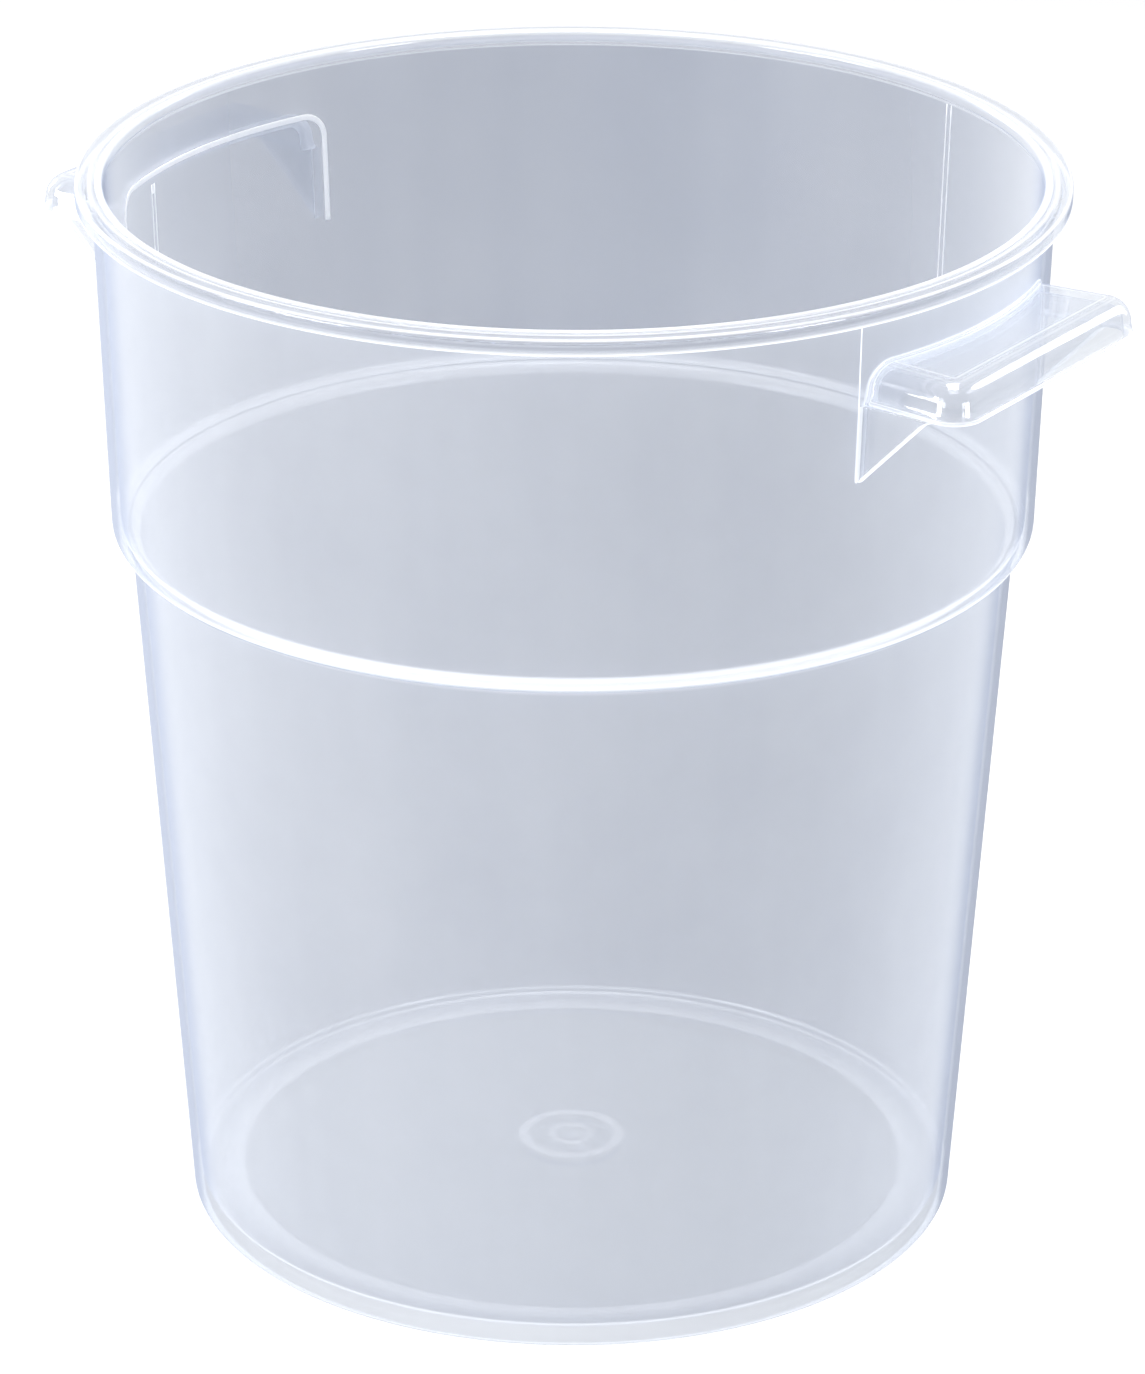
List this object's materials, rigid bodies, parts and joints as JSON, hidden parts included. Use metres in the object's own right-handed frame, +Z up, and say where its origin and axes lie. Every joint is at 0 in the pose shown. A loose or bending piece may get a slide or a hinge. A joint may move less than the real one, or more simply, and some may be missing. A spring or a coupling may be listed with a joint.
{
  "type": "bain marie container",
  "caption": "Tall round translucent polypropylene food container with a stacking shoulder, an out-turned rim and opposite moulded hood handles.",
  "frame": {"origin": "centre of the container on the plane that its foot stands on", "axes": "+Z up along the container's axis, +X towards the middle of the right handle"},
  "size_m": [0.3798, 0.336, 0.3759],
  "materials": {
    "natural_polypropylene": "natural translucent polypropylene, glossy moulded skin, faint blue-grey haze"
  },
  "bodies": {
    "root": {"vessel_shell": "natural_polypropylene", "rim_flange": "natural_polypropylene", "handle_right": "natural_polypropylene", "handle_left": "natural_polypropylene", "foot_ring": "natural_polypropylene", "gate_disc": "natural_polypropylene"}
  },
  "joints": []
}
